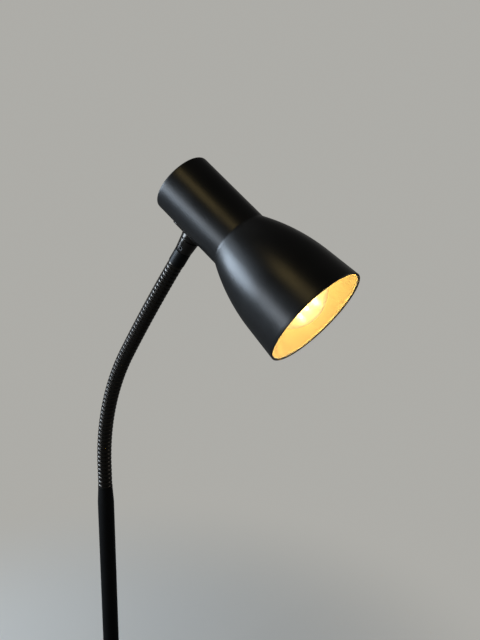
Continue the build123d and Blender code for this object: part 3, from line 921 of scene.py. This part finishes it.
def build_rim_bead():
    """The thin bead just inside the mouth, in cream paint made paler than the inside as a painted highlight along
    the rim.
    """
    centre = (shade_mouth_radius - rim_bead_inset, shade_length - rim_black_depth - rim_bead_radius)
    ring = arc(centre, rim_bead_radius, 0, math.tau, rim_bead_steps)[:-1]
    bead = turned("shade_rim_bead", ring, head_place(), [RIM_HIGHLIGHT_CREAM], closed=True)
    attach(bead, "head")


def bulb_line(inset):
    """Glass half outline, moved inwards by inset: neck, hollow flank, then the round."""
    neck = bulb_neck_radius - inset
    ball = bulb_radius - inset
    rise = bulb_centre - bulb_neck_end
    flank = (rise**2 + neck**2 - ball**2) / (2 * (ball - neck))
    turn = math.asin(rise / (ball + flank))
    line = [Vector((neck, bulb_foot))]
    line += arc((neck + flank, bulb_neck_end), flank, math.pi, math.pi - turn, bulb_flank_steps)
    line += arc((0, bulb_centre), ball, -turn, math.pi / 2, bulb_round_steps)[1:]
    line[-1] = Vector((0, bulb_centre + ball))
    return line


def build_bulb():
    """The bulb's glass, which lets the light of its strips out without a shadow."""
    outline = split_long(bulb_line(0)) + split_long(bulb_line(bulb_glass_wall))[::-1]
    bulb = turned("bulb_glass_shell", outline, head_place(), [BULB_GLASS], closed=True)
    bulb.visible_shadow = False
    bulb.visible_diffuse = False
    stands_for(bulb, "head", "glass", "bulb_glass")


def dress_nodes():
    """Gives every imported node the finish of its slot, or its own."""
    for part in frame["record"]["subparts"]:
        node = frame["nodes"][part["node"]]
        made = NODE_MATERIALS.get(part["node"], SLOT_MATERIALS[part["material_slot"]])
        node.data.materials.clear()
        node.data.materials.append(made)


# Studio


def lit_panel(name, place, size, colour, power):
    """A soft panel light that faces the lamp."""
    place = Vector(place)
    data = bpy.data.lights.new(name, "AREA")
    data.shape = "RECTANGLE"
    data.size, data.size_y = size
    data.color = colour
    data.energy = power
    panel = bpy.data.objects.new(name, data)
    bpy.context.scene.collection.objects.link(panel)
    panel.location = place
    panel.rotation_mode = "QUATERNION"
    panel.rotation_quaternion = (camera_aim - place).to_track_quat("-Z", "Y")


def seen(nodes, links, gloss_share=0.0):
    """1 for rays from the camera or through glass, gloss_share for reflections, 0 for the rest."""
    path = nodes.new("ShaderNodeLightPath")
    either = nodes.new("ShaderNodeMath")
    either.operation = "MAXIMUM"
    links.new(path.outputs["Is Camera Ray"], either.inputs[0])
    links.new(path.outputs["Is Transmission Ray"], either.inputs[1])
    gloss = nodes.new("ShaderNodeMath")
    gloss.operation = "MULTIPLY_ADD"
    gloss.inputs[1].default_value = gloss_share
    links.new(path.outputs["Is Glossy Ray"], gloss.inputs[0])
    links.new(either.outputs["Value"], gloss.inputs[2])
    return gloss.outputs["Value"]


def build_world():
    """The plain backdrop, and for reflections and light a room that darkens towards its ceiling."""
    world = bpy.data.worlds.new("studio")
    bpy.context.scene.world = world
    world.use_nodes = True
    nodes, links = world.node_tree.nodes, world.node_tree.links
    room = nodes["Background"]
    place = nodes.new("ShaderNodeTexCoord")
    axes = nodes.new("ShaderNodeSeparateXYZ")
    links.new(place.outputs["Generated"], axes.inputs["Vector"])
    height = nodes.new("ShaderNodeMapRange")
    height.inputs["From Min"].default_value = room_rise_share
    height.inputs["From Max"].default_value = ceiling_rise_share
    links.new(axes.outputs["Z"], height.inputs["Value"])
    tone = blend_colours(nodes, links, height.outputs["Result"], room_colour, ceiling_colour)
    links.new(tone, room.inputs["Color"])
    wall = nodes.new("ShaderNodeBackground")
    wall.inputs["Color"].default_value = (*backdrop_colour, 1.0)
    mix = nodes.new("ShaderNodeMixShader")
    links.new(seen(nodes, links), mix.inputs["Fac"])
    links.new(room.outputs["Background"], mix.inputs[1])
    links.new(wall.outputs["Background"], mix.inputs[2])
    links.new(mix.outputs["Shader"], nodes["World Output"].inputs["Surface"])


def floor_material():
    """Pale round the lamp, and away from it the backdrop's own tone."""
    made, nodes, links, shader = new_material("floor")
    shown = seen(nodes, links, floor_gloss_share)
    tone = blend_colours(nodes, links, shown, floor_bounce_colour, floor_colour)
    links.new(tone, shader.inputs["Base Color"])
    shader.inputs["Roughness"].default_value = floor_roughness
    plain = nodes.new("ShaderNodeEmission")
    plain.inputs["Color"].default_value = (*backdrop_colour, 1.0)
    place = nodes.new("ShaderNodeTexCoord")
    length = nodes.new("ShaderNodeVectorMath")
    length.operation = "LENGTH"
    links.new(place.outputs["Object"], length.inputs[0])
    fade = nodes.new("ShaderNodeMapRange")
    fade.interpolation_type = "SMOOTHSTEP"
    fade.inputs["From Min"].default_value = floor_lit_radius
    fade.inputs["From Max"].default_value = floor_plain_radius
    links.new(length.outputs["Value"], fade.inputs["Value"])
    share = nodes.new("ShaderNodeMath")
    share.operation = "MULTIPLY"
    links.new(fade.outputs["Result"], share.inputs[0])
    links.new(shown, share.inputs[1])
    mix = nodes.new("ShaderNodeMixShader")
    links.new(share.outputs["Value"], mix.inputs["Fac"])
    links.new(shader.outputs["BSDF"], mix.inputs[1])
    links.new(plain.outputs["Emission"], mix.inputs[2])
    links.new(mix.outputs["Shader"], nodes["Material Output"].inputs["Surface"])
    return made


def build_floor():
    place = Matrix.Translation((0, 0, -floor_drop))
    outline = [Vector((floor_radius, 0)), Vector((0, 0))]
    floor = turned("floor", outline, place, [floor_material()], sides=floor_sides)


def build_camera():
    data = bpy.data.cameras.new("camera")
    data.sensor_fit = "VERTICAL"
    data.sensor_height = camera_sensor_mm
    data.lens = camera_lens_mm
    camera = bpy.data.objects.new("camera", data)
    bpy.context.scene.collection.objects.link(camera)
    camera.location = camera_place
    camera.rotation_mode = "QUATERNION"
    level = (camera_aim - camera_place).to_track_quat("-Z", "Y")
    camera.rotation_quaternion = level @ Quaternion((0, 0, 1), math.radians(camera_roll_degrees))
    bpy.context.scene.camera = camera


build_camera()
dress_nodes()
build_base_cover()
build_switch_ring()
build_cord_inlet()
build_button()
build_post_tube()
build_post_collar()
build_neck_taper()
build_neck()
build_sleeve()
build_coupling()
build_saddle()
build_shade_shell()
build_rim_bead()
build_bulb()
build_world()
build_floor()
for name, panel in panels.items():
    lit_panel(name, **panel)
bpy.context.scene.view_settings.view_transform = "Standard"
